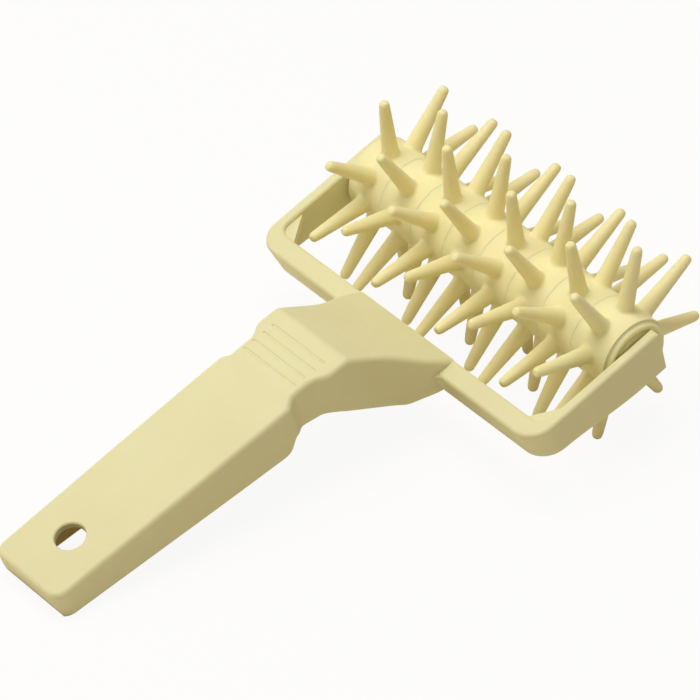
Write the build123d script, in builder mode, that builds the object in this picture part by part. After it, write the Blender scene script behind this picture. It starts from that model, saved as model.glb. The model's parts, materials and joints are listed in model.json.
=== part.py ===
from build123d import *
from math import asin, atan2, cos, degrees, hypot, radians, sin, tan
import os

os.makedirs("parts", exist_ok=True)

# Axes of the finished docker: X runs along the roller from left to right, Y points from the handle
# to the roller and Z points up from the table. The docker rests on two rows of pins and on the end
# of its handle, and the origin lies on the table, in the middle of the space that it takes up.

# Roller
disc_count = 8
pins_per_disc = 8
disc_pitch = 15.0
disc_gap = 0.2
hub_radius = 12.9
hub_edge_chamfer = 0.5
roller_radius = 35.3          # over the tips of the pins
pin_sides = 10
pin_root_radius = 2.95
pin_tip_radius = 1.75
pin_tip_chamfer = 0.9
pin_tip_length = 1.3          # of the chamfer along the pin
pin_seat = 1.2                # how deep a pin's root is buried in the hub
pin_stagger = 19.3            # degrees between the pin rows of neighbouring discs
loose_disc = 7                # the disc that has turned on the spindle within its play
loose_turn = 4.1              # degrees

# Spindle
spindle_radius = 7.0
spindle_bore_radius = 4.4
spindle_rib_height = 1.7
spindle_rib_width = 3.0
spindle_rib_count = 4
spindle_fit = 0.25            # clearance between the spindle and a disc, around and above the ribs
rib_side_play = 0.65          # on each side of a rib, which lets a disc turn a few degrees
spindle_end_gap = 0.2

# End caps
cap_radius = 12.0
cap_lip_width = 1.3
cap_lip_chamfer = 0.3
cap_thickness = 1.2
cap_dish = 0.7
cap_boss_radius = 7.6
cap_boss_height = 1.0         # above the bottom of the dish
cap_plug_fit = 0.1            # radial clearance of the cap's plug in the spindle
cap_plug_length = 11.0
cap_plug_chamfer = 0.6
pivot_radius = 4.0
pivot_fit = 0.06              # radial running clearance of a pivot in its socket
pivot_end_gap = 0.3
pivot_end_chamfer = 0.4

# Frame, measured from the roller's axis, along and square to its deck, the plane of its two arms
arm_gap = 0.8                 # between an end cap's lip and an arm's inner face
arm_thickness = 3.7
arm_reach = 7.6               # how far an arm runs past the axis
arm_end_lean = 0.9            # how far the arm's end face slopes back on its way down
arm_flat = 2.0                # how far behind the axis an arm's lower edge starts to rise
deck_height = 8.0             # the arms' top above the axis
arm_depth = 16.3              # at the axis
bar_depth = 12.8              # at the crossbar
bar_front = 39.6              # from the axis back to the crossbar's front face
bar_width = 7.6
bar_draft = 2.5               # how much narrower the crossbar is underneath
frame_corner_radius = 8.5
frame_inner_radius = 4.0
deck_edge_radius = 1.2
gusset_length = 9.6           # along the arm
gusset_width = 6.6            # along the crossbar
gusset_thickness = 2.5
gusset_drop = 1.6             # below the deck
socket_depth = 2.4

# Handle from above
handle_end = 189.9            # from the axis back to the handle's end
handle_end_half_width = 15.4
handle_end_corner_radius = 4.6
handle_front = 97.0           # where the handle's full width stops and the thumb rest starts
handle_half_width = 16.6
waist_half_width = 14.2
waist_back = 91.5
waist_front = 86.0
crest_back = 78.0             # where the neck is wide again
neck_half_width = 17.1
flare_start = 63.0
flare_back_half_width = 21.6  # at the crossbar's back
flare_half_width = 22.8       # at the crossbar's front

# Handle from the side
handle_pitch = 1.3            # degrees that the handle rises from the deck's plane towards its end
handle_top = 34.4             # the handle's top line carried forward to the axis
thumb_rise = 1.1              # the thumb rest above the handle's top line
thumb_back = 91.0
crest = 71.6                  # from the axis back to the crest's corner
crest_rise = 0.5              # above the handle's top line
ramp_front_height = 7.8       # where the ramp down the neck meets the crossbar's front face
rise_radius = 25.0
crest_radius = 3.5
end_depth = 10.4              # of the handle's sides at the end
end_lean = 1.2                # how far the end face slopes in under the handle
end_lean_start = 2.4          # below the top line
guard_depth = 17.8            # of the handle's sides at the finger guard
guard_tip = 100.3
guard_rounding = 4.5
finger_back = 96.6            # finger hollow behind the neck
finger_back_height = 23.9
finger_back_rounding = 1.5
finger_front = 80.1
finger_front_height = 19.4
finger_front_rounding = 5.0
neck_under = 57.6
neck_under_height = -0.1
neck_under_radius = 6.0
neck_front_height = -0.8      # of the neck's underside where it meets the crossbar
handle_edge_radius = 1.7

# Handle's walls, hang hole and thumb grooves
handle_wall = 3.0
handle_top_wall = 2.4
guard_wall = 3.0
hang_hole_radius = 5.0
hang_hole_from_end = 18.8
hang_hole_chamfer = 0.4
groove_count = 4
groove_spacing = 3.95
groove_front = 77.2
groove_half_length = 11.8
groove_radius = 0.7
groove_depth = 0.35           # of the groove's round floor below the thumb rest

overrun = 5.0                 # how far a cutting shape runs past the surface that it cuts
upward_share = 0.05           # a face whose normal rises by more than this share faces up
crosswise_share = 0.9         # an edge that runs across by more than this share is a crosswise edge

# All pieces are made about the middle of the roller's axis, and the frame is drawn with its deck
# level. They are turned and lifted into the rest pose at the end.

# Pin: a tapered shank with flat sides and a chamfered tip
pin_pitch_angle = 360 / pins_per_disc
pin_start = hub_radius - pin_seat
pin_length = roller_radius - pin_start
side_share = cos(radians(180 / pin_sides))
pin_draft = degrees(atan2((pin_root_radius - pin_tip_radius) * side_share, pin_length - pin_tip_length))
with BuildPart() as pin:
    with BuildSketch(Plane.YZ.offset(pin_start)):
        RegularPolygon(pin_root_radius, pin_sides)
    extrude(amount=pin_length)
    flats = pin.faces().filter_by(lambda face: abs(face.normal_at().X) < crosswise_share)
    draft(flats, Plane.YZ.offset(pin_start), pin_draft)
    tip = pin.faces().sort_by(Axis.X)[-1]
    chamfer(tip.edges(), pin_tip_chamfer, pin_tip_length, reference=tip)

# Pin disc: a short hub with a ring of pins, keyed to the spindle by four slots
disc_width = disc_pitch - disc_gap
bore_radius = spindle_radius + spindle_fit
with BuildPart(Plane.YZ) as disc:
    Cylinder(hub_radius, disc_width)
    chamfer(disc.edges().filter_by(GeomType.CIRCLE), hub_edge_chamfer)
    Cylinder(bore_radius, disc_width, mode=Mode.SUBTRACT)
    with PolarLocations(0, spindle_rib_count):
        Box(
            2 * (spindle_radius + spindle_rib_height + spindle_fit),
            spindle_rib_width + 2 * rib_side_play,
            disc_width,
            mode=Mode.SUBTRACT,
        )
    with PolarLocations(0, pins_per_disc, start_angle=pin_pitch_angle / 4):
        add(pin.part)

# Every other disc is the same moulding turned over, which staggers the rows of pins. Each is turned
# a little on the spindle, within the play of its slots.
stack = {}
settled_turn = pin_stagger / 2 - pin_pitch_angle / 4
for number in range(1, disc_count + 1):
    turned_over = number % 2 == 0
    turn = -settled_turn if turned_over else settled_turn
    if number == loose_disc:
        turn = turn + loose_turn
    place_x = (number - (disc_count + 1) / 2) * disc_pitch
    with BuildPart() as turned_disc:
        with Locations(Location((place_x, 0, 0), (turn, 0, 180 if turned_over else 0))):
            add(disc.part)
    stack[f"pin_disc_{number}"] = turned_disc.part

# Spindle: a tube with ribs along it that turn the discs
stack_end = disc_count * disc_pitch / 2
spindle_length = 2 * (stack_end - spindle_end_gap)
with BuildPart(Plane.YZ) as spindle:
    Cylinder(spindle_radius, spindle_length)
    with PolarLocations(spindle_radius, spindle_rib_count):
        Box(2 * spindle_rib_height, spindle_rib_width, spindle_length)
    Cylinder(spindle_bore_radius, spindle_length, mode=Mode.SUBTRACT)
stack["spindle"] = spindle.part

# End cap: a dished flange over the last disc, a plug in the spindle and a pivot in the frame's arm
dish_floor = cap_thickness - cap_dish
boss_face = dish_floor + cap_boss_height
plug_radius = spindle_bore_radius - cap_plug_fit
arm_inside = stack_end + cap_thickness + arm_gap
pivot_end = arm_inside + socket_depth - pivot_end_gap - stack_end
with BuildPart() as cap:
    with BuildSketch(Plane.XY):
        with BuildLine():
            Polyline(
                (-cap_plug_length, 0),
                (-cap_plug_length, plug_radius - cap_plug_chamfer),
                (-cap_plug_length + cap_plug_chamfer, plug_radius),
                (0, plug_radius),
                (0, cap_radius),
                (cap_thickness - cap_lip_chamfer, cap_radius),
                (cap_thickness, cap_radius - cap_lip_chamfer),
                (cap_thickness, cap_radius - cap_lip_width + cap_lip_chamfer),
                (cap_thickness - cap_lip_chamfer, cap_radius - cap_lip_width),
                (dish_floor, cap_radius - cap_lip_width),
                (dish_floor, cap_boss_radius),
                (boss_face, cap_boss_radius),
                (boss_face, pivot_radius),
                (pivot_end - pivot_end_chamfer, pivot_radius),
                (pivot_end, pivot_radius - pivot_end_chamfer),
                (pivot_end, 0),
                close=True,
            )
        make_face()
    revolve(axis=Axis.X)

for name, end, turn in (("left_end_cap", -stack_end, 180), ("right_end_cap", stack_end, 0)):
    with BuildPart() as turned_cap:
        with Locations(Location((end, 0, 0), (0, 0, turn))):
            add(cap.part)
    stack[name] = turned_cap.part

# Handle and neck: one outline from above, cut to one outline from the side
arm_outside = arm_inside + arm_thickness
bar_back = bar_front + bar_width
full_width = 2 * arm_outside
deck = Plane.XY.offset(deck_height)
below = Plane.XY.offset(deck_height - arm_depth)
side = Plane.YZ.offset(-arm_outside)


def handle_line(reach):
    """Height of the handle's top line at a reach behind the axis."""
    return handle_top + reach * tan(radians(handle_pitch))


crest_height = handle_line(crest) + crest_rise
end_bottom_height = handle_line(handle_end) - end_depth


def handle_plan(inset=0):
    """Half outline of the handle and neck from above, from its end to the crossbar's front."""
    corner = max(handle_end_corner_radius - inset, handle_edge_radius)
    end = inset - handle_end
    front = -bar_front - inset
    start = Line((0, end), (handle_end_half_width - inset - corner, end))
    turn = RadiusArc(start @ 1, (handle_end_half_width - inset, end + corner), -corner)
    edge = Spline(
        turn @ 1,
        (handle_half_width - inset, -handle_front),
        tangents=((handle_half_width - handle_end_half_width, handle_end - handle_front), (0, 1)),
    )
    narrow = Spline(edge @ 1, (waist_half_width - inset, -waist_back), tangents=((0, 1), (0, 1)))
    waist = Line(narrow @ 1, (waist_half_width - inset, -waist_front))
    widen = Spline(waist @ 1, (neck_half_width - inset, -crest_back), tangents=((0, 1), (0, 1)))
    neck = Line(widen @ 1, (neck_half_width - inset, -flare_start))
    flare = Spline(
        neck @ 1,
        (flare_back_half_width - inset, -bar_back),
        (flare_half_width - inset, front),
        tangents=((0, 1), (flare_half_width - flare_back_half_width, bar_width + inset)),
    )
    Polyline(flare @ 1, (0, front), (0, end))


def handle_top_line():
    """Top line of the handle, thumb rest and neck from the side, back to front."""
    return FilletPolyline(
        (-handle_end, handle_line(handle_end)),
        (-handle_front, handle_line(handle_front)),
        (-thumb_back, handle_line(thumb_back) + thumb_rise),
        (-crest, crest_height),
        (-bar_front, ramp_front_height),
        radius=(rise_radius, rise_radius, crest_radius),
    )


with BuildPart() as handle:
    with BuildSketch(below):
        with BuildLine():
            handle_plan()
        make_face()
        mirror(about=Plane.YZ)
    extrude(amount=handle_line(handle_end) + arm_depth)
    with BuildSketch(side):
        with BuildLine():
            top = handle_top_line()
            under = FilletPolyline(
                (-handle_end, end_bottom_height),
                (-guard_tip, handle_line(guard_tip) - guard_depth),
                (-finger_back, finger_back_height),
                (-finger_front, finger_front_height),
                (-neck_under, neck_under_height),
                (-bar_front, neck_front_height),
                radius=(guard_rounding, finger_back_rounding, finger_front_rounding, neck_under_radius),
            )
            Line(top @ 0, under @ 0)
            Line(top @ 1, under @ 1)
        make_face()
    extrude(amount=full_width, mode=Mode.INTERSECT)
    upper_faces = handle.faces().filter_by(lambda face: face.normal_at().Z > upward_share)
    upper_edges = upper_faces.edges()
    lengthwise = upper_edges.filter_by(lambda edge: abs(edge.tangent_at(0.5).X) < crosswise_share)
    rear = upper_edges.sort_by(Axis.Y)[0]
    fillet(lengthwise + ShapeList([rear]), handle_edge_radius)
    end_slope = end_lean / (end_depth - end_lean_start)
    with BuildSketch(side):
        with BuildLine():
            Polyline(
                (-handle_end, handle_line(handle_end) - end_lean_start),
                (end_lean + overrun * end_slope - handle_end, end_bottom_height - overrun),
                (-handle_end - overrun, end_bottom_height - overrun),
                (-handle_end - overrun, handle_line(handle_end) - end_lean_start),
                close=True,
            )
        make_face()
    extrude(amount=full_width, mode=Mode.SUBTRACT)

# Hollow of the handle and neck, open underneath, with a wall across at the finger guard
with BuildPart() as hollow:
    with BuildSketch(below):
        with BuildLine():
            handle_plan(inset=handle_wall)
        make_face()
        mirror(about=Plane.YZ)
    extrude(amount=handle_line(handle_end) + arm_depth)
    with BuildSketch(side):
        with BuildLine():
            roof = handle_top_line()
            Polyline(
                roof @ 1,
                (-bar_front, -arm_depth - overrun),
                (-handle_end, -arm_depth - overrun),
                roof @ 0,
            )
        make_face()
        offset(amount=-handle_top_wall, kind=Kind.INTERSECTION)
        with Locations((-guard_tip + guard_wall, -arm_depth - overrun)):
            Rectangle(
                guard_wall,
                arm_depth + handle_top + crest_height,
                align=(Align.CENTER, Align.MIN),
                mode=Mode.SUBTRACT,
            )
    extrude(amount=full_width, mode=Mode.INTERSECT)


# Yoke: two arms and the crossbar. Its outer outline slants forward on its way down.
def yoke_outer():
    """Half of the yoke's outer outline from above, from the arm's end to the crossbar's back."""
    return FilletPolyline(
        (arm_outside, arm_reach),
        (arm_outside, -bar_back),
        (0, -bar_back),
        radius=frame_corner_radius,
    )


with BuildPart() as yoke:
    with BuildSketch(deck):
        with BuildLine():
            outer = yoke_outer()
            inner = FilletPolyline(
                (arm_inside, arm_reach),
                (arm_inside, -bar_front),
                (0, -bar_front),
                radius=frame_inner_radius,
            )
            Line(outer @ 0, inner @ 0)
            Line(outer @ 1, inner @ 1)
        make_face()
        mirror(about=Plane.YZ)
    extrude(amount=-arm_depth)
    with BuildSketch(deck):
        with BuildLine():
            shell = yoke_outer()
            Polyline(shell @ 0, (arm_outside, arm_reach + overrun), (0, arm_reach + overrun), shell @ 1)
        make_face()
        mirror(about=Plane.YZ)
    slant = (0, bar_draft, -bar_depth)
    slant_length = hypot(bar_draft, bar_depth) * arm_depth / bar_depth
    extrude(amount=slant_length, dir=slant, mode=Mode.INTERSECT)
    deck_face = yoke.faces().sort_by(Axis.Z)[-1]
    fillet(deck_face.outer_wire().edges(), deck_edge_radius)
    with BuildSketch(side):
        with BuildLine():
            lower_edge = Spline(
                (-arm_flat, deck_height - arm_depth),
                (-bar_front, deck_height - bar_depth),
                tangents=((-1, 0), (-1, 0)),
            )
            Polyline(
                lower_edge @ 1,
                (-bar_back - overrun, deck_height - bar_depth),
                (-bar_back - overrun, deck_height + overrun),
                (arm_reach, deck_height + overrun),
                (arm_reach, deck_height),
                (arm_reach - arm_end_lean, deck_height - arm_depth),
                lower_edge @ 0,
            )
        make_face()
    extrude(amount=full_width, mode=Mode.INTERSECT)

# Frame: yoke, handle and corner webs in one moulding, with the two sockets for the roller
hole_reach = handle_end - hang_hole_from_end
hole_up = (0, sin(radians(handle_pitch)), cos(radians(handle_pitch)))
hole_face = Plane(origin=(0, -hole_reach, handle_line(hole_reach)), x_dir=(1, 0, 0), z_dir=hole_up)
thumb_slope = (handle_line(thumb_back) + thumb_rise - crest_height) / (thumb_back - crest)
groove_lift = groove_radius - groove_depth
with BuildPart() as frame:
    add(yoke.part)
    add(handle.part)
    with BuildSketch(deck.offset(-gusset_drop)):
        with BuildLine():
            Polyline(
                (arm_inside, gusset_length - bar_front),
                (arm_inside, -bar_front),
                (arm_inside - gusset_width, -bar_front),
                close=True,
            )
        make_face()
        mirror(about=Plane.YZ)
    extrude(amount=-gusset_thickness)
    add(hollow.part, mode=Mode.SUBTRACT)
    with BuildSketch(Plane.YZ.offset(-arm_inside - socket_depth)):
        Circle(pivot_radius + pivot_fit)
    extrude(amount=2 * (arm_inside + socket_depth), mode=Mode.SUBTRACT)
    with Locations(hole_face):
        Hole(hang_hole_radius, depth=handle_wall + handle_top_wall)
    rim = frame.edges(Select.LAST).filter_by(GeomType.CIRCLE).sort_by(Axis.Z)[-1]
    chamfer(rim, hang_hole_chamfer)
    for number in range(groove_count):
        reach = groove_front + groove_spacing * number
        height = crest_height + thumb_slope * (reach - crest) + groove_lift
        with Locations((0, -reach, height)):
            Cylinder(groove_radius, 2 * groove_half_length, rotation=(0, 90, 0), mode=Mode.SUBTRACT)
        with Locations((-groove_half_length, -reach, height), (groove_half_length, -reach, height)):
            Sphere(groove_radius, mode=Mode.SUBTRACT)

# Rest pose: the docker stands on its lowest pins and on the bottom edge of the handle's end
axis_height = -min(piece.bounding_box().min.Z for piece in stack.values())
end_reach = handle_end - end_lean
guard_height = handle_line(guard_tip) - guard_depth
end_height = end_bottom_height - end_lean * (end_bottom_height - guard_height) / (handle_end - guard_tip)
deck_tilt = degrees(atan2(end_height, end_reach) + asin(axis_height / hypot(end_reach, end_height)))
with BuildPart() as tipped_frame:
    with Locations(Location((0, 0, 0), (deck_tilt, 0, 0))):
        add(frame.part)
rear_reach = -tipped_frame.part.bounding_box().min.Y
front_reach = max(piece.bounding_box().max.Y for piece in stack.values())
axis_point = (0, (rear_reach - front_reach) / 2, axis_height)

for name, piece in {"frame": tipped_frame.part, **stack}.items():
    with BuildPart() as stood:
        with Locations(axis_point):
            add(piece)
    stood.part.label = name
    export_step(stood.part, f"parts/{name}.step")
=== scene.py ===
# %% [markdown]
# # A dough docker in moulded ivory plastic
#
# A docker is rolled over pastry to prick it. It is a one-piece frame (handle, neck, crossbar and
# two arms) that holds a roller of eight spiked discs. The CAD model has the true shapes and sizes.
# Here its flat-sided pins become round ones, the caps get a rounder rim, the frame gets two ribs
# and two fillets, and every piece gets the finish of matte ivory plastic.

import json
import math

import bpy
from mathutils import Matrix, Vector


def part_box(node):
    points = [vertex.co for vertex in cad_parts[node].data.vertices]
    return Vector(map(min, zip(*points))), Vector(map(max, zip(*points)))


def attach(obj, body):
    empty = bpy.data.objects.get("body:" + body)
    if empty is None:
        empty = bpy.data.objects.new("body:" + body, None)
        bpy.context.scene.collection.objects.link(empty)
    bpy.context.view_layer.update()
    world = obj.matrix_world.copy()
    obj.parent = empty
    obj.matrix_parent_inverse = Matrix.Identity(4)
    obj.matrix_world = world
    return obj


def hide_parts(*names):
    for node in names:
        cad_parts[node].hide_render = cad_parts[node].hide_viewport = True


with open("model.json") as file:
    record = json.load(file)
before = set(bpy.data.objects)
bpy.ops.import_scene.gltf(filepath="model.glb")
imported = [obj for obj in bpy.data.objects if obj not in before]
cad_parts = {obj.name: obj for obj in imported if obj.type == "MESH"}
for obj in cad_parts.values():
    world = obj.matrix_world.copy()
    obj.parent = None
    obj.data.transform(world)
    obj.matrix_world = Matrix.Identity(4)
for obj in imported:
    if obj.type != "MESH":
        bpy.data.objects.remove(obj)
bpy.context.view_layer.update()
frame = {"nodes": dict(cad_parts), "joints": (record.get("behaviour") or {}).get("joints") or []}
nodes = frame["nodes"]

# %% [markdown]
# ## Sizes that several cells need
#
# The roller's axis comes from the record's only joint, and the discs' places come from the boxes of
# their CAD nodes, so nothing here has to be measured twice. Blender works in metres, so sizes that
# are written in millimetres are multiplied by mm.

# %% Read the roller's axis and the disc pitch
mm = 0.001
axis_point = Vector(frame["joints"][0]["pos_m"])
disc_names = [f"pin_disc_{number}" for number in range(1, 9)]
disc_boxes = [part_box(name) for name in disc_names]
disc_places = [(lo.x + hi.x) / 2 for lo, hi in disc_boxes]
disc_pitch = disc_places[1] - disc_places[0]
print("axis:", [round(v, 5) for v in axis_point], "pitch:", round(disc_pitch, 5))

# %% [markdown]
# ## Camera
#
# The picture was taken from high up on the right, behind the handle, with a long lens, so parallel
# edges stay almost parallel. The place and the angles were worked out from the tips of the pins.

# %% Set the camera up
camera_data = bpy.data.cameras.new("photo_camera")
camera_data.sensor_width = 36.0
camera_data.lens = 290.3
camera_data.clip_end = 20.0
camera = bpy.data.objects.new("photo_camera", camera_data)
bpy.context.scene.collection.objects.link(camera)
camera.location = (1.008787, -0.894691, 1.127405)
camera.rotation_euler = (0.891488, -0.028966, 0.860556)
bpy.context.scene.camera = camera
print("camera:", [round(v, 3) for v in camera.location], "lens:", camera_data.lens)

# %% [markdown]
# ## Light, floor and background
#
# A studio cut-out has a white ground and soft light from above. One large lamp hangs over the
# object, a weaker one fills in from the left, and the world gives the rest, a little warm as if it
# came back from the plastic itself. The floor is a wide sheet of cream paper. For the camera only it
# is mostly bright by itself, so that it looks white and still takes a soft shadow.

# %% World
fill_colour = (1.0, 0.90, 0.70, 1.0)
fill_strength = 0.30
scene = bpy.context.scene
scene.view_settings.view_transform = "Standard"
world = bpy.data.worlds.new("studio_world")
scene.world = world
world.use_nodes = True
sky = world.node_tree
sky.nodes.clear()
seen = sky.nodes.new("ShaderNodeBackground")
seen.inputs["Color"].default_value = (1.0, 1.0, 1.0, 1.0)
seen.inputs["Strength"].default_value = 1.0
fill = sky.nodes.new("ShaderNodeBackground")
fill.inputs["Color"].default_value = fill_colour
fill.inputs["Strength"].default_value = fill_strength
chooser = sky.nodes.new("ShaderNodeMixShader")
light_path = sky.nodes.new("ShaderNodeLightPath")
sky_out = sky.nodes.new("ShaderNodeOutputWorld")
sky.links.new(light_path.outputs["Is Camera Ray"], chooser.inputs[0])
sky.links.new(fill.outputs[0], chooser.inputs[1])
sky.links.new(seen.outputs[0], chooser.inputs[2])
sky.links.new(chooser.outputs[0], sky_out.inputs["Surface"])
print("world fill:", fill_strength)

# %% Lamps
object_middle = Vector((0, 0, 0.03))


def soft_lamp(name, place, size, power):
    """A square lamp that faces the middle of the object."""
    data = bpy.data.lights.new(name, "AREA")
    data.shape = "SQUARE"
    data.size = size
    data.energy = power
    lamp = bpy.data.objects.new(name, data)
    bpy.context.scene.collection.objects.link(lamp)
    lamp.location = place
    lamp.rotation_euler = (object_middle - Vector(place)).to_track_quat("-Z", "Y").to_euler()
    return lamp


lamps = [
    soft_lamp("top_lamp", (-0.18, -0.15, 1.35), size=0.9, power=13.0),
    soft_lamp("left_lamp", (-1.0, -0.8, 0.6), size=0.9, power=3.2),
]
print("lamps:", [(lamp.name, round(lamp.data.energy, 2)) for lamp in lamps])

# %% Floor
paper_colour = (0.84, 0.79, 0.67, 1.0)
camera_glow_share = 0.92
bpy.ops.object.select_all(action="DESELECT")
bpy.ops.mesh.primitive_plane_add(size=8.0, location=(0, 0, 0))
floor = bpy.context.object
floor.name = "studio_floor"
paper = bpy.data.materials.new("white_paper")  # white to the camera
paper.use_nodes = True
tree = paper.node_tree
tree.nodes.clear()
matte = tree.nodes.new("ShaderNodeBsdfDiffuse")
matte.inputs["Color"].default_value = paper_colour
glow = tree.nodes.new("ShaderNodeEmission")
glow.inputs["Strength"].default_value = 1.0
share = tree.nodes.new("ShaderNodeMath")
share.operation = "MULTIPLY"
share.inputs[1].default_value = camera_glow_share
mix = tree.nodes.new("ShaderNodeMixShader")
path = tree.nodes.new("ShaderNodeLightPath")
out = tree.nodes.new("ShaderNodeOutputMaterial")
tree.links.new(path.outputs["Is Camera Ray"], share.inputs[0])
tree.links.new(share.outputs[0], mix.inputs[0])
tree.links.new(matte.outputs[0], mix.inputs[1])
tree.links.new(glow.outputs[0], mix.inputs[2])
tree.links.new(mix.outputs[0], out.inputs["Surface"])
floor.data.materials.append(paper)
print("floor:", tuple(round(v, 2) for v in floor.dimensions))

# %% [markdown]
# ## Shader groups
#
# Three effects are shared by all the plastics, so each is built once as a node group:
# *moulded_grain* is the fine matte skin that the mould leaves, *colour_drift* the slow change of
# tone in thick and thin places, and *scuffs* the short fine scratches of kitchen use. Written into
# every material they would be copied five times. As groups, they are mended in one place. A fourth
# group, *line_bands*, is a thin line at an even spacing, for the parting line round each disc.


# %% Helpers for node groups
def new_group(name, inputs, outputs):
    """An empty shader node group with its named sockets, and its two end nodes."""
    group = bpy.data.node_groups.new(name, "ShaderNodeTree")
    for label, kind, value in inputs:
        socket = group.interface.new_socket(name=label, in_out="INPUT", socket_type=kind)
        if value is not None:
            socket.default_value = value
    for label, kind in outputs:
        group.interface.new_socket(name=label, in_out="OUTPUT", socket_type=kind)
    return group, group.nodes.new("NodeGroupInput"), group.nodes.new("NodeGroupOutput")


def math_node(tree, operation, first, second=None, clamp=False):
    """A maths node. A number is set on its socket, and a socket is linked to it."""
    node = tree.nodes.new("ShaderNodeMath")
    node.operation = operation
    node.use_clamp = clamp
    for socket, value in zip(node.inputs, (first, second)):
        if value is None:
            continue
        if isinstance(value, (int, float)):
            socket.default_value = value
        else:
            tree.links.new(value, socket)
    return node.outputs[0]


def remap(tree, value, low, high, new_low=0.0, new_high=1.0):
    """A value between low and high becomes one between new_low and new_high."""
    node = tree.nodes.new("ShaderNodeMapRange")
    node.clamp = True
    tree.links.new(value, node.inputs["Value"])
    node.inputs["From Min"].default_value = low
    node.inputs["From Max"].default_value = high
    node.inputs["To Min"].default_value = new_low
    node.inputs["To Max"].default_value = new_high
    return node.outputs["Result"]


def noise(tree, vector, scale, detail, rough):
    """A noise texture on a vector, at a scale per metre."""
    node = tree.nodes.new("ShaderNodeTexNoise")
    tree.links.new(vector, node.inputs["Vector"])
    node.inputs["Scale"].default_value = scale
    node.inputs["Detail"].default_value = detail
    node.inputs["Roughness"].default_value = rough
    return node.outputs["Fac"]


FLOAT = "NodeSocketFloat"
COLOUR = "NodeSocketColor"
VECTOR = "NodeSocketVector"
print("socket kinds:", FLOAT, COLOUR, VECTOR)

# %% Moulded grain
fine_per_metre, coarse_per_metre = 3200.0, 420.0
fine_share, coarse_share = 0.6, 0.4
grain, grain_in, grain_out = new_group(
    "moulded_grain",
    [("Place", VECTOR, None), ("Amount", FLOAT, 1.0)],
    [("Height", FLOAT), ("Roughness", FLOAT)],
)
fine = noise(grain, grain_in.outputs["Place"], fine_per_metre, detail=2.0, rough=0.6)
coarse = noise(grain, grain_in.outputs["Place"], coarse_per_metre, detail=3.0, rough=0.55)
fine_part = math_node(grain, "MULTIPLY", fine, fine_share)
coarse_part = math_node(grain, "MULTIPLY", coarse, coarse_share)
mixed = math_node(grain, "ADD", fine_part, coarse_part)
grain_height = math_node(grain, "MULTIPLY", mixed, grain_in.outputs["Amount"])
grain.links.new(grain_height, grain_out.inputs["Height"])
matte_or_less = remap(grain, coarse, low=0.3, high=0.7, new_low=0.44, new_high=0.56)
grain.links.new(matte_or_less, grain_out.inputs["Roughness"])
print("group:", grain.name)

# %% Colour drift
slow_per_metre, speck_per_metre = 28.0, 900.0
drift, drift_in, drift_out = new_group(
    "colour_drift",
    [
        ("Place", VECTOR, None), ("Light", COLOUR, (1, 1, 1, 1)), ("Deep", COLOUR, (1, 1, 1, 1)),
        ("Amount", FLOAT, 1.0),
    ],
    [("Color", COLOUR)],
)
slow = noise(drift, drift_in.outputs["Place"], slow_per_metre, detail=3.0, rough=0.5)
speck = noise(drift, drift_in.outputs["Place"], speck_per_metre, detail=1.0, rough=0.5)
blotches = remap(drift, slow, low=0.32, high=0.68)
specks = remap(drift, speck, low=0.62, high=0.8, new_high=0.35)
blotch = math_node(drift, "ADD", blotches, specks)
tone_share = math_node(drift, "MULTIPLY", blotch, drift_in.outputs["Amount"], clamp=True)
tones = drift.nodes.new("ShaderNodeMix")
tones.data_type = "RGBA"
LIGHT_TONE, DEEP_TONE, TONE_RESULT = 6, 7, 2  # the colour sockets of a Mix node
drift.links.new(tone_share, tones.inputs["Factor"])
drift.links.new(drift_in.outputs["Light"], tones.inputs[LIGHT_TONE])
drift.links.new(drift_in.outputs["Deep"], tones.inputs[DEEP_TONE])
drift.links.new(tones.outputs[TONE_RESULT], drift_out.inputs["Color"])
print("group:", drift.name)

# %% Scuffs
scratches_per_metre, patches_per_metre = 210.0, 55.0
scratch_lays = ((0.5, (1.0, 12.0, 6.0)), (-0.9, (11.0, 1.0, 6.0)))  # turn, and stretch across
scuffs, scuffs_in, scuffs_out = new_group(
    "scuffs",
    [("Place", VECTOR, None), ("Amount", FLOAT, 1.0)],
    [("Mask", FLOAT)],
)
streaks = []
for turn, stretch in scratch_lays:
    lay = scuffs.nodes.new("ShaderNodeMapping")
    lay.inputs["Rotation"].default_value = (0.0, 0.0, turn)
    lay.inputs["Scale"].default_value = stretch
    scuffs.links.new(scuffs_in.outputs["Place"], lay.inputs["Vector"])
    scratch = noise(scuffs, lay.outputs[0], scratches_per_metre, detail=1.0, rough=0.4)
    streaks.append(remap(scuffs, scratch, low=0.66, high=0.72))
patch = noise(scuffs, scuffs_in.outputs["Place"], patches_per_metre, detail=2.0, rough=0.5)
worn_patches = remap(scuffs, patch, low=0.45, high=0.62)
both_lays = math_node(scuffs, "MAXIMUM", streaks[0], streaks[1])
worn = math_node(scuffs, "MULTIPLY", both_lays, worn_patches)
scuff_mask = math_node(scuffs, "MULTIPLY", worn, scuffs_in.outputs["Amount"])
scuffs.links.new(scuff_mask, scuffs_out.inputs["Mask"])
print("group:", scuffs.name)

# %% Line bands
bands, bands_in, bands_out = new_group(
    "line_bands",
    [("Along", FLOAT, 0.0), ("Spacing", FLOAT, 1.0), ("Half width", FLOAT, 0.1)],
    [("Mask", FLOAT)],
)
steps = math_node(bands, "DIVIDE", bands_in.outputs["Along"], bands_in.outputs["Spacing"])
within_step = math_node(bands, "FRACT", steps)
offset = math_node(bands, "ABSOLUTE", math_node(bands, "SUBTRACT", within_step, 0.5))
distance = math_node(bands, "MULTIPLY", offset, bands_in.outputs["Spacing"])
closeness = math_node(bands, "DIVIDE", distance, bands_in.outputs["Half width"])
bands.links.new(math_node(bands, "SUBTRACT", 1.0, closeness, clamp=True), bands_out.inputs["Mask"])
print("group:", bands.name)

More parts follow.
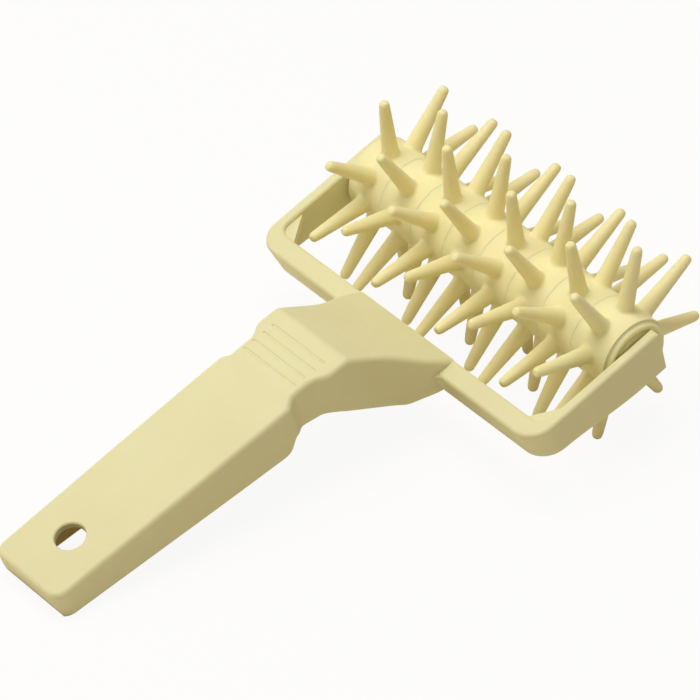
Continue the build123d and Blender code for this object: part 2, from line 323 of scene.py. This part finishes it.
# %% [markdown]
# ## Materials
#
# Every piece is the same kind of plastic, but not the same tone: the discs and caps are a warmer
# ivory than the frame, as they look in the photograph, and the ribs in the handle's hollow are
# coloured a deeper brown as painted shade for the dark inside the hollow. One flat colour would look
# like paint.
# Object coordinates, drifts between a light and a deep tone, has the mould's fine grain in its
# bump, and is a little rougher where it is scuffed. A little subsurface light gives the waxy look
# that thin ivory plastic has. One function makes them all, because only the amounts differ.

# %% Amounts that the plastics share
drift_amount = 0.7
scuff_roughness, scuff_depth = 0.18, 0.5
parting_half_width, parting_height = 0.09 * mm, 1.6
bump_strength, bump_reach = 0.35, 0.05 * mm
specular_level = 0.35
scatter_colours, scatter_reach = (1.0, 0.7, 0.22), 1.8 * mm
print("bump:", round(bump_reach / mm, 3), "mm, scattered light:", round(scatter_reach / mm, 2), "mm")


# %% One recipe for the plastics
def group_node(tree, group, values):
    """A group placed in a material, with the inputs that are plain numbers or colours set."""
    node = tree.nodes.new("ShaderNodeGroup")
    node.node_tree = group
    for label, value in values.items():
        node.inputs[label].default_value = value
    return node


def ivory_plastic(
    name, light, deep, grain_amount=1.0, scuff_amount=1.0, gloss=0.0, glow=0.25, parting=False
):
    """A matte moulded plastic between two tones."""
    material = bpy.data.materials.new(name)
    material.use_nodes = True
    tree = material.node_tree
    shader = tree.nodes["Principled BSDF"]
    place = tree.nodes.new("ShaderNodeTexCoord").outputs["Object"]

    tones = {"Light": (*light, 1.0), "Deep": (*deep, 1.0), "Amount": drift_amount}
    tone = group_node(tree, drift, tones)
    skin = group_node(tree, grain, {"Amount": grain_amount})
    rub = group_node(tree, scuffs, {"Amount": scuff_amount})
    for group in (tone, skin, rub):
        tree.links.new(place, group.inputs["Place"])

    tree.links.new(tone.outputs["Color"], shader.inputs["Base Color"])
    rubbed = math_node(tree, "MULTIPLY", rub.outputs["Mask"], scuff_roughness)
    rough = math_node(tree, "ADD", skin.outputs["Roughness"], rubbed)
    tree.links.new(math_node(tree, "SUBTRACT", rough, gloss), shader.inputs["Roughness"])

    scratched = math_node(tree, "MULTIPLY", rub.outputs["Mask"], scuff_depth)
    height = math_node(tree, "SUBTRACT", skin.outputs["Height"], scratched)
    if parting:
        split = tree.nodes.new("ShaderNodeSeparateXYZ")
        tree.links.new(place, split.inputs[0])
        spacing = {"Spacing": disc_pitch, "Half width": parting_half_width}
        line = group_node(tree, bands, spacing)
        tree.links.new(split.outputs["X"], line.inputs["Along"])
        raised = math_node(tree, "MULTIPLY", line.outputs["Mask"], parting_height)
        height = math_node(tree, "ADD", height, raised)
    bump = tree.nodes.new("ShaderNodeBump")
    bump.inputs["Strength"].default_value = bump_strength
    bump.inputs["Distance"].default_value = bump_reach
    tree.links.new(height, bump.inputs["Height"])
    tree.links.new(bump.outputs["Normal"], shader.inputs["Normal"])

    shader.inputs["Specular IOR Level"].default_value = specular_level
    shader.inputs["Subsurface Weight"].default_value = glow
    shader.inputs["Subsurface Radius"].default_value = scatter_colours
    shader.inputs["Subsurface Scale"].default_value = scatter_reach
    return material


print("recipe:", ivory_plastic.__doc__)

# %% The five finishes
warm_light, warm_deep = (0.93, 0.85, 0.48), (0.90, 0.81, 0.43)
frame_ivory = ivory_plastic(
    "frame_ivory_moulded", light=(0.80, 0.76, 0.45), deep=(0.765, 0.715, 0.405)
)
disc_ivory = ivory_plastic(
    "disc_ivory_moulded", warm_light, warm_deep,
    grain_amount=0.8, scuff_amount=0.5, gloss=0.04, glow=0.4, parting=True,
)
cap_ivory = ivory_plastic(
    "cap_ivory_moulded", warm_light, warm_deep,
    grain_amount=0.7, scuff_amount=0.6, gloss=0.06, glow=0.4,
)
spindle_ivory = ivory_plastic(
    "spindle_ivory_moulded", light=(0.76, 0.68, 0.42), deep=(0.70, 0.62, 0.36), scuff_amount=0.3
)
# The rib's deeper brown is painted shade: the ribs are the same ivory plastic, coloured darker for
# the shadow inside the handle's hollow.
rib_painted_shade = ivory_plastic(
    "rib_painted_shade_moulded", light=(0.70, 0.52, 0.22), deep=(0.64, 0.46, 0.18), scuff_amount=0.3
)
finishes = (frame_ivory, disc_ivory, cap_ivory, spindle_ivory, rib_painted_shade)
print("materials:", [finish.name for finish in finishes])

# %% [markdown]
# ## Modelling helpers
#
# An operator works on whatever is selected, so every step starts with nothing selected, or with one
# piece. A turned piece is a ring that is extruded from one end to the other, the way a lathe tool
# follows its profile, and each ring gets its own radius. What repeats is modelled once as a pattern
# and copied, each copy with its own mesh.


# %% Select and edit
def start_clean():
    """Leaves edit mode and selects nothing."""
    if bpy.context.mode != "OBJECT":
        bpy.ops.object.mode_set(mode="OBJECT")
    bpy.ops.object.select_all(action="DESELECT")


def hold(piece):
    """Selects one piece alone and makes it the active one."""
    start_clean()
    piece.select_set(True)
    bpy.context.view_layer.objects.active = piece


def edit(piece, kind="VERT"):
    """Opens a piece in edit mode with nothing selected."""
    hold(piece)
    bpy.ops.object.mode_set(mode="EDIT")
    bpy.ops.mesh.select_mode(type=kind)
    bpy.ops.mesh.select_all(action="DESELECT")


def pick(piece, test):
    """Selects the vertices whose place passes a test."""
    bpy.ops.object.mode_set(mode="OBJECT")
    for vertex in piece.data.vertices:
        if test(vertex.co):
            vertex.select = True
    bpy.ops.object.mode_set(mode="EDIT")


same_place = 0.01 * mm
print("vertices count as level within", same_place / mm, "mm")

# %% Extrude, modify and finish
doubles_within = 0.002 * mm
smooth_up_to = 35.0  # degrees


def extrude_rings(rings, start):
    """Extrudes the selected ring, which lies square to Z, to each (height, radius)."""
    height, radius = start
    for next_height, next_radius in rings:
        rise = (0, 0, next_height - height)
        bpy.ops.mesh.extrude_region_move(TRANSFORM_OT_translate={"value": rise})
        ratio = next_radius / radius
        bpy.ops.transform.resize(value=(ratio, ratio, 1), center_override=(0, 0, next_height))
        height, radius = next_height, next_radius


def apply_modifier(piece, kind, **settings):
    """Adds one modifier with its settings and applies it."""
    hold(piece)
    modifier = piece.modifiers.new(kind.lower(), kind)
    for setting, value in settings.items():
        setattr(modifier, setting, value)
    bpy.ops.object.modifier_apply(modifier=modifier.name)


def cut_away(piece, cutter):
    """Takes the shape of a cutter out of a piece, and removes the cutter."""
    apply_modifier(piece, "BOOLEAN", operation="DIFFERENCE", solver="EXACT", object=cutter)
    bpy.data.objects.remove(cutter)


def close_up(piece):
    """Merges doubles, points all faces outwards and shades the gentle edges smooth."""
    edit(piece)
    bpy.ops.mesh.select_all(action="SELECT")
    bpy.ops.mesh.remove_doubles(threshold=doubles_within)
    bpy.ops.mesh.normals_make_consistent(inside=False)
    hold(piece)
    smooth_angle = math.radians(smooth_up_to)
    bpy.ops.object.shade_smooth_by_angle(angle=smooth_angle, keep_sharp_edges=False)
    piece.select_set(False)


def place_copy(pattern, name, finish, place, turn=(0, 0, 0), flip=(1, 1, 1)):
    """Copies a pattern with its own mesh, puts the copy in place and gives it its finish."""
    piece = bpy.data.objects.new(name, pattern.data.copy())
    bpy.context.scene.collection.objects.link(piece)
    hold(piece)
    piece.location = place
    piece.rotation_euler = turn
    piece.scale = flip
    bpy.ops.object.transform_apply(location=True, rotation=True, scale=True)
    piece.data.materials.clear()
    piece.data.materials.append(finish)
    return piece


print("edges are shaded smooth up to", smooth_up_to, "degrees")

# %% [markdown]
# ## The pin disc
#
# The real disc is one moulding: a short hub with eight tapered pins, round in section, whose feet
# spread softly into the hub and whose ends are domed. The CAD pins have flat sides, so the disc is
# modelled again. It could be turned pieces joined by a boolean, but that leaves a hard corner at
# each foot. Instead one eighth of the disc is a cage for a subdivision surface: a ring is extruded
# from the pin's tip to its foot, joined to a rectangle of the hub, and laid on the hub's cylinder.
# The eighth is then repeated round the axis.

# %% Sizes of a disc
hub_radius = 12.9 * mm
disc_width = 14.96 * mm
hub_edge = 0.14 * mm
pin_count = 8
pin_reach = 35.3 * mm
pin_tip_radius = 0.45 * mm
ring_sides = 24
side_steps = ring_sides // 4
half_share = math.radians(360 / pin_count / 2)  # a pin's share of the hub is one eighth
# A subdivision surface shrinks a ring a little, by an amount that depends on its number of sides.
ring_gain = 6 / (4 + 2 * math.cos(2 * math.pi / ring_sides))
hub_gain = 6 / (4 + 2 * math.cos(2 * half_share / side_steps))
# Height and radius of each ring in mm, and for the foot how far it stands above the hub.
pin_profile = [
    (35.28, 0.95), (34.86, 1.42), (34.1, 1.72), (32.8, 1.81), (24.0, 2.28), (15.2, 2.76),
    (14.0, 2.86),
]
foot_rings = [(13.45, 3.02, 0.50), (13.05, 3.34, 0.12), (12.9, 3.9, 0.0), (12.9, 4.5, 0.0)]
print("pins:", pin_count, "ring gain", round(ring_gain, 4), "hub gain", round(hub_gain, 4))

# %% One pin
start_clean()
bpy.ops.mesh.primitive_circle_add(
    vertices=ring_sides, radius=pin_tip_radius, fill_type="NGON", location=(0, 0, pin_reach)
)
disc = bpy.context.object
disc.name = "disc_pattern"
bpy.ops.object.transform_apply(location=True, rotation=False, scale=False)
edit(disc, "EDGE")
bpy.ops.mesh.select_all(action="SELECT")
bpy.ops.mesh.region_to_loop()
rings = [(height * mm, radius * mm * ring_gain) for height, radius in pin_profile]
rings += [(height * mm, radius * mm * ring_gain) for height, radius, lift in foot_rings]
extrude_rings(rings, (pin_reach, pin_tip_radius))
start_clean()
print("pin rings:", len(disc.data.vertices) // ring_sides)

# %% Join the pin's foot to a rectangle of the hub
# The rectangle starts a little lower than the ring. In one plane, the bridge would cross itself.
half_across = (disc_width / 2 - hub_edge, hub_radius * hub_gain * math.sin(half_share))
patch_height = 12.2 * mm
start_clean()
bpy.ops.mesh.primitive_plane_add(size=2, location=(0, 0, patch_height))
patch = bpy.context.object
patch.scale = (*half_across, 1)
bpy.ops.object.transform_apply(location=True, rotation=False, scale=True)
edit(patch, "EDGE")
bpy.ops.mesh.select_all(action="SELECT")
bpy.ops.mesh.delete(type="ONLY_FACE")
bpy.ops.mesh.select_all(action="SELECT")
bpy.ops.mesh.subdivide(number_cuts=side_steps - 1)
hold(disc)
patch.select_set(True)
bpy.ops.object.join()
edit(disc, "EDGE")
bpy.ops.mesh.select_non_manifold()
bpy.ops.mesh.bridge_edge_loops()
start_clean()
print("faces with the patch:", len(disc.data.polygons))

# %% Lay the foot on the hub
drum_sides = 192
along_x = (0, math.pi / 2, 0)  # turns a cylinder's axis from Z to X


def lay_on_hub(piece, height, lift):
    """Projects the vertices at one height onto a cylinder about X, a lift above the hub."""
    start_clean()
    bpy.ops.mesh.primitive_cylinder_add(
        vertices=drum_sides, radius=(hub_radius + lift) * hub_gain, depth=disc_width * 2,
        rotation=along_x,
    )
    drum = bpy.context.object
    group = piece.vertex_groups.new(name="foot")
    vertices = piece.data.vertices
    level = [vertex.index for vertex in vertices if abs(vertex.co.z - height) < same_place]
    group.add(level, 1.0, "REPLACE")
    apply_modifier(
        piece, "SHRINKWRAP", target=drum, vertex_group=group.name, wrap_method="PROJECT",
        use_project_z=True, use_negative_direction=True, use_positive_direction=True,
    )
    piece.vertex_groups.clear()
    bpy.data.objects.remove(drum)


# From the lowest to the highest, so that no ring is laid down twice.
lay_on_hub(disc, patch_height, 0.0)
for height, radius, lift in reversed(foot_rings[:-1]):
    lay_on_hub(disc, height * mm, lift * mm)
print("lowest foot:", round(min(vertex.co.z for vertex in disc.data.vertices), 5))

# %% The hub's end faces
end_hole_ratio = 0.3
for side in (-1, 1):
    edit(disc)
    edge_x, face_x = side * half_across[0], side * disc_width / 2
    pick(disc, lambda co: abs(co.x - edge_x) < same_place)
    bpy.ops.mesh.extrude_region_move(TRANSFORM_OT_translate={"value": (side * hub_edge, 0, 0)})
    for ratio in (1 - hub_edge / hub_radius, end_hole_ratio):
        bpy.ops.mesh.extrude_region_move(TRANSFORM_OT_translate={"value": (0, 0, 0)})
        bpy.ops.transform.resize(value=(1, ratio, ratio), center_override=(face_x, 0, 0))
start_clean()
print("faces of one pin's share:", len(disc.data.polygons))

# %% Repeat the share round the axis
copies = pin_count - 1
edit(disc)
bpy.ops.mesh.select_all(action="SELECT")
bpy.ops.mesh.spin(
    steps=copies, dupli=True, angle=2 * half_share * copies, center=(0, 0, 0), axis=(1, 0, 0)
)
bpy.ops.mesh.select_all(action="SELECT")
bpy.ops.mesh.remove_doubles(threshold=same_place)
bpy.ops.mesh.select_all(action="SELECT")
bpy.ops.mesh.fill_holes(sides=0)
close_up(disc)
print("cage:", len(disc.data.polygons), "faces")

# %% Round the cage and bore the disc
# The slots for the spindle's ribs stand a quarter of a pin's pitch beside the pins, so a disc that
# is turned over has its pins half a pitch further round.
bore_radius, bore_sides = 7.25 * mm, 96
slot_reach, slot_width = 8.95 * mm, 4.3 * mm
slot_turns = (-11.25, 78.75)  # degrees
cut_length = disc_width * 1.5
apply_modifier(disc, "SUBSURF", levels=1, render_levels=1)
start_clean()
bpy.ops.mesh.primitive_cylinder_add(
    vertices=bore_sides, radius=bore_radius, depth=cut_length, rotation=along_x
)
cutters = [bpy.context.object]
for slot_turn in slot_turns:
    start_clean()
    bpy.ops.mesh.primitive_cube_add(size=1, rotation=(math.radians(slot_turn), 0, 0))
    slot = bpy.context.object
    slot.scale = (cut_length, slot_width, slot_reach * 2)
    cutters.append(slot)
for cutter in cutters:
    cut_away(disc, cutter)
close_up(disc)
print("disc:", len(disc.data.polygons), "faces,", len(disc.data.vertices), "vertices")

# %% [markdown]
# ## Eight discs from one
#
# Every other disc is the same moulding turned over, and each sits at its own small turn on the
# spindle. The turn is read from the CAD node: its farthest points are the pin tips, and eight times
# their angle is nearly the same for all eight pins, so the mean of that angle gives the turn.


# %% Copy the disc to its eight places
def pin_turn(node):
    """The angle from +Y of the pins of a CAD disc, within half a pin's pitch."""
    places = [vertex.co - axis_point for vertex in node.data.vertices]
    tips = [place for place in places if math.hypot(place.y, place.z) > pin_reach - 0.2 * mm]
    angles = [math.atan2(tip.z, tip.y) * pin_count for tip in tips]
    return math.atan2(sum(map(math.sin, angles)), sum(map(math.cos, angles))) / pin_count


for number, (name, place) in enumerate(zip(disc_names, disc_places)):
    turned_over = number % 2 == 1
    turn = pin_turn(nodes[name])
    piece = place_copy(
        disc, f"round_{name}", disc_ivory, (place, axis_point.y, axis_point.z),
        turn=(-turn, 0, math.pi) if turned_over else (turn, 0, 0),
    )
    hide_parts(name)
    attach(piece, "roller")
    print(piece.name, "turned", round(math.degrees(turn), 2), "over" if turned_over else "")
bpy.data.objects.remove(disc)

# %% [markdown]
# ## The end caps
#
# A cap is one turned shape: a plug that goes into the spindle, a flange with a rim, a boss and the
# pivot. The real rim is a rounded band, so here it stands rounder and 0.4 mm further out than the
# CAD cap's plain lip. The shape could be turned with Spin from a drawn profile. Here a ring is
# extruded along the profile instead, because each radius can then be read off, and a Bevel modifier
# breaks the hard edges by a tenth or two of a millimetre, as a mould does.

# %% Model one cap
cap_sides = 96
cap_edge, cap_edge_angle = 0.18 * mm, math.radians(40)
plug_end_height, plug_end_radius = -11.0 * mm, 3.7 * mm
# Height above the last disc and radius of each ring, in mm.
cap_profile = [
    (-10.4, 4.3), (0.0, 4.3), (0.0, 12.4), (0.15, 12.3), (0.3, 11.9), (0.5, 11.75), (1.2, 11.6),
    (1.5, 11.35), (1.62, 11.0), (1.62, 10.4), (1.5, 10.1), (1.1, 9.9), (0.9, 9.6), (0.9, 9.2),
    (1.1, 8.9), (1.5, 8.7), (1.5, 4.0), (3.7, 4.0), (4.1, 3.6),
]
start_clean()
bpy.ops.mesh.primitive_circle_add(
    vertices=cap_sides, radius=plug_end_radius, fill_type="NGON", location=(0, 0, plug_end_height)
)
cap = bpy.context.object
cap.name = "cap_pattern"
bpy.ops.object.transform_apply(location=True, rotation=False, scale=False)
edit(cap, "EDGE")
bpy.ops.mesh.select_all(action="SELECT")
bpy.ops.mesh.region_to_loop()
rings = [(height * mm, radius * mm) for height, radius in cap_profile]
extrude_rings(rings, (plug_end_height, plug_end_radius))
bpy.ops.mesh.edge_face_add()
close_up(cap)
apply_modifier(
    cap, "BEVEL", width=cap_edge, segments=3, limit_method="ANGLE", angle_limit=cap_edge_angle
)
print("cap:", len(cap.data.polygons), "faces")

# %% Place the cap at both ends
stack_end = disc_places[-1] + disc_pitch / 2
for name, side in (("left_end_cap", -1), ("right_end_cap", 1)):
    piece = place_copy(
        cap, f"turned_{name}", cap_ivory, (side * stack_end, axis_point.y, axis_point.z),
        turn=(0, side * math.pi / 2, 0),
    )
    close_up(piece)
    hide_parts(name)
    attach(piece, "roller")
bpy.data.objects.remove(cap)
print("caps at:", [round(side * stack_end, 4) for side in (-1, 1)])

# %% [markdown]
# ## Ribs in the handle
#
# The handle is a hollow channel, open below. Through the hang hole the photograph shows a dark face
# with a straight lower edge, which stands well inside the side wall. It is taken for a stiffening
# rib with a twin on the other side of the hole. A rib could be extruded from a drawn outline. Here
# it starts as a cube, because it has only four corners seen from the side: they are moved to the
# slopes of the handle, and a Bevel modifier rounds the edges. The rib's top is sunk in the handle's
# top wall.

# %% Model one rib
rib_inside, rib_thickness = 6.6 * mm, 1.6 * mm
rib_edge, rib_edge_angle = 0.45 * mm, math.radians(30)
# Where each corner goes, along the docker and up, in mm.
rib_corners = {
    ("back", "low"): (-110.5, 2.7), ("back", "high"): (-110.5, 9.1),
    ("front", "low"): (-41.0, 18.8), ("front", "high"): (-36.0, 33.0),
}
start_clean()
bpy.ops.mesh.primitive_cube_add(size=1)
rib = bpy.context.object
rib.name = "rib_pattern"
rib.scale = (rib_thickness, 1, 1)
bpy.ops.object.transform_apply(location=False, rotation=False, scale=True)
for (end, level), (y, z) in rib_corners.items():
    edit(rib)
    cube_y, cube_z = (-0.5 if end == "back" else 0.5), (-0.5 if level == "low" else 0.5)
    pick(rib, lambda co: abs(co.y - cube_y) < same_place and abs(co.z - cube_z) < same_place)
    bpy.ops.transform.translate(value=(0, y * mm - cube_y, z * mm - cube_z))
apply_modifier(
    rib, "BEVEL", width=rib_edge, segments=3, limit_method="ANGLE", angle_limit=rib_edge_angle
)
print("rib:", len(rib.data.polygons), "faces")

# %% Place the ribs
# The ribs get the finish whose deeper brown is painted shade for the hollow.
for name, side in (("handle_rib_left", -1), ("handle_rib_right", 1)):
    piece = place_copy(rib, name, rib_painted_shade, (side * (rib_inside + rib_thickness / 2), 0, 0))
    close_up(piece)
    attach(piece, "frame")
bpy.data.objects.remove(rib)
print("ribs stand", round(rib_inside / mm, 2), "mm from the middle")

# %% [markdown]
# ## Fillets beside the neck
#
# Where the neck's sides run into the back of the crossbar, the moulding has a hollow fillet. It
# can't be a bevel on the frame, because a CAD node is never changed. So each one is a small block in
# the corner with a cylinder cut out of it, which leaves a curve that meets both walls smoothly. The
# cutter leans as the crossbar's back does. The block is modelled square to the deck, the plane of
# the arms, and is then tipped with it.

# %% Place and size of a fillet
# Places are in mm from the roller's axis, square to the deck.
deck_tilt = math.radians(19.04)
corner_x, corner_y, deck_top = 21.6, -47.2, 8.0
fillet_radius = 4.5
bar_lean = math.atan2(2.5, 12.8)
block_middle = (corner_x + 1.0, corner_y - 0.4, deck_top - 4.35)
block_size = (5.0, 6.0, 7.9)
block_top = block_middle[2] + block_size[2] / 2
cutter_middle = (corner_x + 3.1, corner_y - fillet_radius + 0.05, deck_top)
cutter_sides, cutter_length = 128, 40
print("fillet radius:", fillet_radius, "mm, lean", round(math.degrees(bar_lean), 1), "degrees")

# %% Cut one fillet out of a block
start_clean()
bpy.ops.mesh.primitive_cube_add(size=1, location=[v * mm for v in block_middle])
fillet = bpy.context.object
fillet.name = "fillet_pattern"
fillet.scale = [v * mm for v in block_size]
start_clean()
bpy.ops.mesh.primitive_cylinder_add(
    vertices=cutter_sides, radius=fillet_radius * mm, depth=cutter_length * mm,
    rotation=(bar_lean, 0, 0), location=[v * mm for v in cutter_middle],
)
cutter = bpy.context.object
hold(fillet)
bpy.ops.object.transform_apply(location=True, rotation=False, scale=True)
cut_away(fillet, cutter)
print("fillet:", len(fillet.data.polygons), "faces")

# %% Round the fillet's upper edge
# The curve's upper edge is the row of short edges on top that the cylinder left.
longest_step, edge_round = 0.6 * mm, 0.6 * mm
edit(fillet, "EDGE")
bpy.ops.object.mode_set(mode="OBJECT")
for edge in fillet.data.edges:
    ends = [fillet.data.vertices[index].co for index in edge.vertices]
    on_top = all(abs(co.z - block_top * mm) < same_place for co in ends)
    edge.select = on_top and (ends[0] - ends[1]).length < longest_step
bpy.ops.object.mode_set(mode="EDIT")
bpy.ops.mesh.bevel(offset=edge_round, segments=3)
start_clean()
print("rounded fillet:", len(fillet.data.polygons), "faces")

# %% Place the fillets
for name, side in (("neck_fillet_left", -1), ("neck_fillet_right", 1)):
    piece = place_copy(
        fillet, name, frame_ivory, axis_point, turn=(deck_tilt, 0, 0), flip=(side, 1, 1)
    )
    close_up(piece)
    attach(piece, "frame")
bpy.data.objects.remove(fillet)
print("fillets tipped by", round(math.degrees(deck_tilt), 2), "degrees")

# %% [markdown]
# ## The frame and the spindle
#
# Their CAD solids have the right shape, and modelling them again would add nothing. So these nodes
# stay as they are, and only get their finish.

# %% Dress the CAD nodes that stay
for name, finish in (("frame", frame_ivory), ("spindle", spindle_ivory)):
    for material_slot in nodes[name].material_slots:
        material_slot.material = finish
    print(name, "is finished in", finish.name)

# %% [markdown]
# ## End
